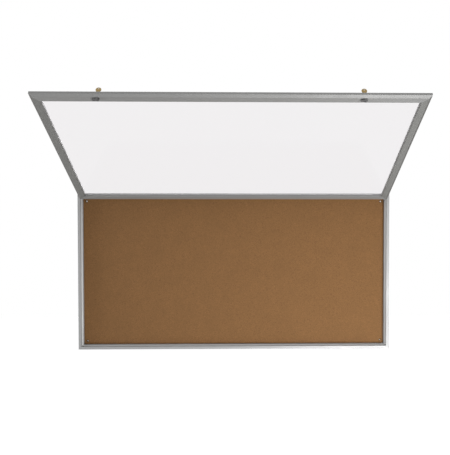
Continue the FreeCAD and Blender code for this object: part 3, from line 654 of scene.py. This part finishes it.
class NOTICEBOARD_OT_eyelets(bpy.types.Operator):
    """Build the four flanged eyelets for the wall screws"""

    bl_idname = "noticeboard.eyelets"
    bl_label = "Fixing Eyelets"

    def execute(self, context):
        scene = context.scene
        detail = scene.noticeboard_detail
        steps = detail.turn_steps
        bore = MOUNTS["wall_fixings"]["dims"]["hole_r_mm"] * MM
        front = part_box("cork_sheet")[0].y
        mesh = bmesh.new()
        for low, high in solids_of("fixing_eyelets"):
            centre = (low + high) / 2
            flange = (high.x - low.x) / 2
            stand = front - low.y
            back = high.y - front
            tube = bore + detail.eyelet_wall
            place = facing(Vector((centre.x, front, centre.z)))
            lip = rounded(stand, 0, 90, (flange - stand, 0), steps=4)
            throat = rounded(stand * 0.8, 90, 180, (bore + stand * 0.8, stand * 0.2), steps=4)
            profile = [(tube, -back), (tube, 0), *lip, *throat, (bore, -back)]
            spin_profile(mesh, profile, place, steps, closed=True)
        material = plated_finish("eyelet_bronze", scene.noticeboard_finish.bronze, 0.50)
        add_piece("eyelets", mesh, "case", "bronzed_steel", material, "fixing_eyelets")
        return {"FINISHED"}


class NOTICEBOARD_OT_cover(bpy.types.Operator):
    """Finish the cover's rails"""

    bl_idname = "noticeboard.cover"
    bl_label = "Cover Rails"

    def execute(self, context):
        scene = context.scene
        finish = scene.noticeboard_finish
        metal = finish.metal_share
        # Both colours are the case's anodising painted darker: painted shade on the cover's rails, deepest on the
        # side rails.
        level = anodised_finish("cover_level_anodised_painted_shade", finish.cover_level_painted_shade, metal, turn=OPENING)
        upright = anodised_finish(
            "cover_upright_anodised_painted_shade", finish.cover_upright_painted_shade, metal, upright=True, turn=OPENING
        )
        finish_node(level, "cover_top_rail", "cover_bottom_rail")
        finish_node(upright, "cover_left_rail", "cover_right_rail")
        soften(scene.noticeboard_detail.rail_bevel, *(f"cover_{side}_rail" for side in RAILS))
        return {"FINISHED"}


class NOTICEBOARD_OT_glazing(bpy.types.Operator):
    """Finish the clear sheet and build the rounded gasket that holds it"""

    bl_idname = "noticeboard.glazing"
    bl_label = "Glazing"

    def execute(self, context):
        scene = context.scene
        finish_node(clear_finish(scene.noticeboard_finish), "glazing")
        low, high = solids_of("glazing_gasket", shut=True)[0]
        pane_low, pane_high = solids_of("glazing", shut=True)[0]
        detail = scene.noticeboard_detail
        front_lip = (pane_low.y - low.y) / 2
        back_lip = (high.y - pane_high.y) / 2
        tip = detail.groove_depth + detail.gasket_show
        slot_floor = detail.pane_margin * 0.95
        profile = [(0, low.y), (tip - front_lip, low.y)]
        profile += rounded(front_lip * 0.9, -90, 90, (tip - front_lip, low.y + front_lip * 0.95))
        profile += [(slot_floor, pane_low.y), (slot_floor, pane_high.y)]
        profile += rounded(back_lip * 0.9, -90, 90, (tip - back_lip, high.y - back_lip * 0.95))
        profile += [(tip - back_lip, high.y), (0, high.y)]
        mesh = bmesh.new()
        frame_loop(mesh, profile, low, high, ("bl", "br", "tr", "tl", "bl"))
        material = rubber_finish("gasket_rubber", scene.noticeboard_finish.gasket, 0.45)
        add_piece("gasket", mesh, "cover", "grey_rubber", material, "glazing_gasket", swung=True)
        return {"FINISHED"}


class NOTICEBOARD_OT_seal(bpy.types.Operator):
    """Build the ribbed sealing strips on the bevels of the cover's sides. Their dark rubber is real, and its
    darkness also stands for the shade on those bevels: partly painted shade.
    """

    bl_idname = "noticeboard.seal"
    bl_label = "Cover Seal"

    def execute(self, context):
        scene = context.scene
        left_strip, right_strip = solids_of("cover_seal", shut=True)
        low, high = left_strip[0], right_strip[1]
        width = scene.noticeboard_detail.seal_width
        thickness = scene.noticeboard_detail.seal_thickness
        rise = high.y - low.y - thickness
        ribs = (
            (1.0, 0.5), (0.92, 0.95), (0.8, 1.0), (0.68, 0.95), (0.58, 0.6), (0.42, 0.6),
            (0.32, 0.95), (0.2, 1.0), (0.08, 0.95), (0.0, 0.5),
        )
        profile = [(0, low.y), (width, low.y + rise)]
        profile += [(width * across, low.y + rise * across + thickness * up) for across, up in ribs]
        mesh = bmesh.new()
        frame_loop(mesh, profile, low, high, ("tl", "bl"))
        frame_loop(mesh, profile, low, high, ("br", "tr"))
        material = rubber_finish("seal_rubber", scene.noticeboard_finish.seal, 0.6)
        add_piece("seal", mesh, "cover", "dark_rubber", material, "cover_seal", swung=True)
        return {"FINISHED"}


class NOTICEBOARD_OT_hinge(bpy.types.Operator):
    """Finish the hinge's leaves and its pin"""

    bl_idname = "noticeboard.hinge"
    bl_label = "Hinge"

    def execute(self, context):
        scene = context.scene
        finish = scene.noticeboard_finish
        rgb, metal = finish.hinge, finish.metal_share
        still = anodised_finish("case_leaf_anodised", rgb, metal, roughness=0.33)
        turned = anodised_finish("cover_leaf_anodised", rgb, metal, turn=OPENING, roughness=0.33)
        finish_node(still, "hinge_case_leaf")
        finish_node(turned, "hinge_cover_leaf")
        soften(scene.noticeboard_detail.hinge_bevel, "hinge_case_leaf", "hinge_cover_leaf")
        finish_node(plated_finish("pin_steel", finish.steel, 0.25), "hinge_pin")
        return {"FINISHED"}


class NOTICEBOARD_OT_hinge_screws(bpy.types.Operator):
    """Build the pan-head screws of both hinge leaves"""

    bl_idname = "noticeboard.hinge_screws"
    bl_label = "Hinge Screws"

    def execute(self, context):
        scene = context.scene
        material = plated_finish("screw_zinc", scene.noticeboard_finish.zinc, 0.25)
        detail = scene.noticeboard_detail
        steps = detail.turn_steps // 2
        head = detail.leaf_screw_head
        for side, shut in (("case", False), ("cover", True)):
            node = f"hinge_{side}_screws"
            mesh = bmesh.new()
            for low, high in solids_of(node, shut):
                centre = (low + high) / 2
                radius = (high.x - low.x) / 2
                down = math.pi if side == "case" else 0
                bearing = low.z + head if side == "case" else high.z - head
                place = Matrix.Translation((centre.x, centre.y, bearing)) @ Matrix.Rotation(down, 4, "X")
                shank = high.z - low.z - head
                pan_screw(mesh, place, radius, head, detail.screw_shank, shank, steps)
            add_piece(f"{side}_leaf_screws", mesh, side, "zinc_plated_steel", material, node, swung=shut)
        return {"FINISHED"}


class NOTICEBOARD_OT_locks(bpy.types.Operator):
    """Build the lock barrels, nuts and cam screws, and finish the plugs and cams"""

    bl_idname = "noticeboard.locks"
    bl_label = "Locks"

    def execute(self, context):
        scene = context.scene
        finish = scene.noticeboard_finish
        detail = scene.noticeboard_detail
        nickel = plated_finish("barrel_nickel", finish.nickel, 0.16)
        zinc = plated_finish("lock_zinc", finish.dark_zinc, 0.34, cast=(1.02, 0.99, 0.90))
        brass = brass_finish(finish)
        for side in SIDES:
            self.build_barrel(side, detail, nickel)
            self.build_nut(side, detail, zinc)
            self.build_cam_screw(side, detail, zinc)
            finish_node(brass, f"{side}_lock_plug")
            finish_node(zinc, f"{side}_lock_cam")
            soften(detail.fitting_bevel, f"{side}_lock_plug", f"{side}_lock_cam")
        return {"FINISHED"}

    def build_barrel(self, side, detail, material):
        low, high = solids_of(f"{side}_lock_barrel", shut=True)[0]
        centre = (low + high) / 2
        bezel = (high.x - low.x) / 2
        face = solids_of("cover_bottom_rail", shut=True)[0][0].y
        stand = face - low.y
        end = high.y - face
        bore = solids_of(f"{side}_lock_plug", shut=True)[0][1].x - centre.x + detail.barrel_fit
        body = detail.barrel_radius
        pitch = detail.barrel_pitch
        root = body - pitch * 0.45
        profile = [(bore, -end), (body - pitch / 2, -end)]
        level = -end + pitch / 2
        while level < -pitch:
            profile += [(body, level), (root, level + pitch / 2)]
            level += pitch
        profile += [(root, 0), (bezel, 0)]
        profile += rounded(stand * 0.75, 0, 90, (bezel - stand * 0.75, stand * 0.25))
        chamfer = detail.barrel_chamfer
        profile += [(bore + chamfer, stand), (bore, stand - chamfer)]
        mesh = bmesh.new()
        place = facing(Vector((centre.x, face, centre.z)))
        spin_profile(mesh, profile, place, detail.turn_steps, closed=True)
        node = f"{side}_lock_barrel"
        add_piece(f"{side}_barrel", mesh, "cover", "nickel_plate", material, node, swung=True)

    def build_nut(self, side, detail, material):
        low, high = solids_of(f"{side}_lock_nut", shut=True)[0]
        centre = (low + high) / 2
        flat = min(high.x - low.x, high.z - low.z) / 2
        half = (high.y - low.y) / 2
        bore = detail.barrel_radius + detail.nut_fit
        turn = math.pi / 6 if high.x - low.x > high.z - low.z else 0
        steps = detail.turn_steps // 6 * 6
        mesh = bmesh.new()
        rings = [[] for _ in range(6)]
        place = facing(centre)
        for i in range(steps):
            angle = 2 * math.pi * i / steps
            off_flat = (angle + math.pi / 6) % (math.pi / 3) - math.pi / 6
            reach = flat / math.cos(off_flat)
            drop = (reach - flat) * math.tan(NUT_CHAMFER)
            section = (
                (bore, -half), (flat, -half), (reach, drop - half),
                (reach, half - drop), (flat, half), (bore, half),
            )
            across, up = math.cos(angle + turn), math.sin(angle + turn)
            for ring, (radius, height) in zip(rings, section):
                ring.append(mesh.verts.new(place @ Vector((radius * across, radius * up, height))))
        for lower, upper in zip(rings, rings[1:] + rings[:1]):
            join_rings(mesh, lower, upper)
        node = f"{side}_lock_nut"
        add_piece(f"{side}_nut", mesh, "cover", "zinc_plated_steel", material, node, swung=True)

    def build_cam_screw(self, side, detail, material):
        low, high = solids_of(f"{side}_cam_screw", shut=True)[0]
        centre = (low + high) / 2
        head = detail.cam_screw_head
        shank = high.y - low.y - head
        place = facing(Vector((centre.x, high.y - head, centre.z)), outward=False)
        mesh = bmesh.new()
        radius = (high.x - low.x) / 2
        pan_screw(mesh, place, radius, head, detail.screw_shank, shank, detail.turn_steps)
        name, node = f"{side}_cam_pan_screw", f"{side}_cam_screw"
        add_piece(name, mesh, f"{side}_lock", "zinc_plated_steel", material, node, swung=True)


class NOTICEBOARD_OT_keys(bpy.types.Operator):
    """Finish the two flat keys"""

    bl_idname = "noticeboard.keys"
    bl_label = "Keys"

    def execute(self, context):
        scene = context.scene
        brass = brass_finish(scene.noticeboard_finish)
        finish_node(brass, "left_key", "right_key")
        soften(scene.noticeboard_detail.fitting_bevel, "left_key", "right_key")
        return {"FINISHED"}


class NOTICEBOARD_OT_stage(bpy.types.Operator):
    """Build the floor, the studio's lights and the camera"""

    bl_idname = "noticeboard.stage"
    bl_label = "Stage"

    def execute(self, context):
        scene = context.scene
        stage = scene.noticeboard_stage
        self.build_floor(stage)
        self.light_room(scene, stage)
        self.add_lamp("key_light", stage.key_at, stage.key_size, stage.key_power)
        self.add_lamp("fill_light", stage.fill_at, stage.fill_size, stage.fill_power)
        self.add_lamp("side_light", stage.side_at, stage.side_size, stage.side_power)
        self.place_camera(scene, stage)
        return {"FINISHED"}

    def build_floor(self, stage):
        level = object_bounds()[0].z - stage.floor_drop
        half = stage.floor_size / 2
        mesh = bmesh.new()
        corners = ((-half, -half), (half, -half), (half, half), (-half, half))
        mesh.faces.new([mesh.verts.new((x, y, level)) for x, y in corners])
        data = bpy.data.meshes.new("floor")
        mesh.to_mesh(data)
        mesh.free()
        material, tree, shader = new_finish("pale_floor", 0.9)
        grain = noise(tree, surface_coordinates(tree), 30.0)
        pale = ramp(tree, grain, (0.0, opaque(stage.floor_dark)), (1.0, opaque(stage.floor_light)))
        tree.links.new(pale, shader.inputs["Base Color"])
        glow = add_node(tree, "ShaderNodeEmission", {"Strength": self.floor_strength(tree, stage, level)})
        lit = {0: shader.outputs["BSDF"], 1: glow.outputs["Emission"]}
        both = add_node(tree, "ShaderNodeAddShader", lit)
        tree.links.new(both.outputs["Shader"], tree.nodes["Material Output"].inputs["Surface"])
        data.materials.append(material)
        floor = bpy.data.objects.new("floor", data)
        bpy.context.scene.collection.objects.link(floor)
        floor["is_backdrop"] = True

    def floor_strength(self, tree, stage, level):
        """The floor's own light: near white where it is seen, weaker in the patch below the board. Metal and glass
        mirror a still weaker patch there, to the left of the board's middle: painted shade in their reflections.
        """
        middle = (*stage.patch_at, level)
        place = surface_coordinates(tree)
        distance = add_node(tree, "ShaderNodeVectorMath", {0: place, 1: middle}, operation="DISTANCE")
        fade = {
            "Value": distance.outputs["Value"], "From Min": stage.patch_inner, "From Max": stage.patch_outer
        }
        away = add_node(tree, "ShaderNodeMapRange", fade).outputs["Result"]
        mirrored_glow_with_painted_shade = spread(tree, away, stage.patch_mirrored_painted_shade, stage.floor_glow)
        seen_glow = spread(tree, away, stage.patch_glow, stage.floor_glow)
        # Painted shade: metal and glass mirror a darker floor in the patch below the board and to its left.
        mirrored = combine(tree, "MULTIPLY", ray_kinds(tree, "Glossy"), mirrored_glow_with_painted_shade)
        seen = combine(tree, "MULTIPLY", ray_kinds(tree, "Camera", "Transmission"), seen_glow)
        return combine(tree, "MAXIMUM", mirrored, seen)

    def light_room(self, scene, stage):
        world = bpy.data.worlds.new("studio")
        world.use_nodes = True
        scene.world = world
        tree = world.node_tree
        background = tree.nodes["Background"]
        background.inputs["Color"].default_value = (1.0, 1.0, 1.0, 1.0)
        seen = ray_kinds(tree, "Camera", "Glossy", "Transmission")
        tree.links.new(spread(tree, seen, stage.ambient, 1.0), background.inputs["Strength"])

    def add_lamp(self, name, at, size, power):
        """A square soft lamp turned to the middle of the board."""
        data = bpy.data.lights.new(name, "AREA")
        data.shape = "SQUARE"
        data.size = size
        data.energy = power
        lamp = bpy.data.objects.new(name, data)
        lamp.location = at
        lamp.rotation_euler = (-Vector(at)).to_track_quat("-Z", "Y").to_euler()
        bpy.context.scene.collection.objects.link(lamp)

    def place_camera(self, scene, stage):
        data = bpy.data.cameras.new("camera")
        data.lens = stage.focal_length
        data.shift_x, data.shift_y = stage.frame_shift
        camera = bpy.data.objects.new("camera", data)
        camera.location = stage.camera_at
        camera.rotation_euler = (math.pi / 2 - stage.camera_tilt, 0.0, -stage.camera_turn)
        scene.collection.objects.link(camera)
        scene.camera = camera
        scene.view_settings.view_transform = "Standard"


class NOTICEBOARD_PT_build(bpy.types.Panel):
    """Lists the board's settings and the operators that build its looks"""

    bl_label = "Notice Board"
    bl_idname = "NOTICEBOARD_PT_build"
    bl_space_type = "VIEW_3D"
    bl_region_type = "UI"
    bl_category = "Notice Board"

    def draw(self, context):
        layout = self.layout
        for operator in OPERATORS:
            layout.operator(operator.bl_idname)
        for name, group in SETTINGS.items():
            box = layout.box()
            box.label(text=group.__doc__)
            for setting in group.__annotations__:
                box.prop(getattr(context.scene, name), setting)


SETTINGS = {
    "noticeboard_finish": FinishSettings,
    "noticeboard_detail": DetailSettings,
    "noticeboard_stage": StageSettings,
}
OPERATORS = (
    NOTICEBOARD_OT_case,
    NOTICEBOARD_OT_panel,
    NOTICEBOARD_OT_eyelets,
    NOTICEBOARD_OT_cover,
    NOTICEBOARD_OT_glazing,
    NOTICEBOARD_OT_seal,
    NOTICEBOARD_OT_hinge,
    NOTICEBOARD_OT_hinge_screws,
    NOTICEBOARD_OT_locks,
    NOTICEBOARD_OT_keys,
    NOTICEBOARD_OT_stage,
)


def register():
    for cls in (*SETTINGS.values(), *OPERATORS, NOTICEBOARD_PT_build):
        bpy.utils.register_class(cls)
    for name, group in SETTINGS.items():
        setattr(bpy.types.Scene, name, PointerProperty(type=group))


def unregister():
    for name in SETTINGS:
        delattr(bpy.types.Scene, name)
    for cls in (NOTICEBOARD_PT_build, *reversed(OPERATORS), *reversed(SETTINGS.values())):
        bpy.utils.unregister_class(cls)


def main():
    """Builds everything on the frame."""
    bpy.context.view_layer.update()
    register()
    for operator in OPERATORS:
        family, name = operator.bl_idname.split(".")
        getattr(getattr(bpy.ops, family), name)()


if __name__ == "__main__":
    main()
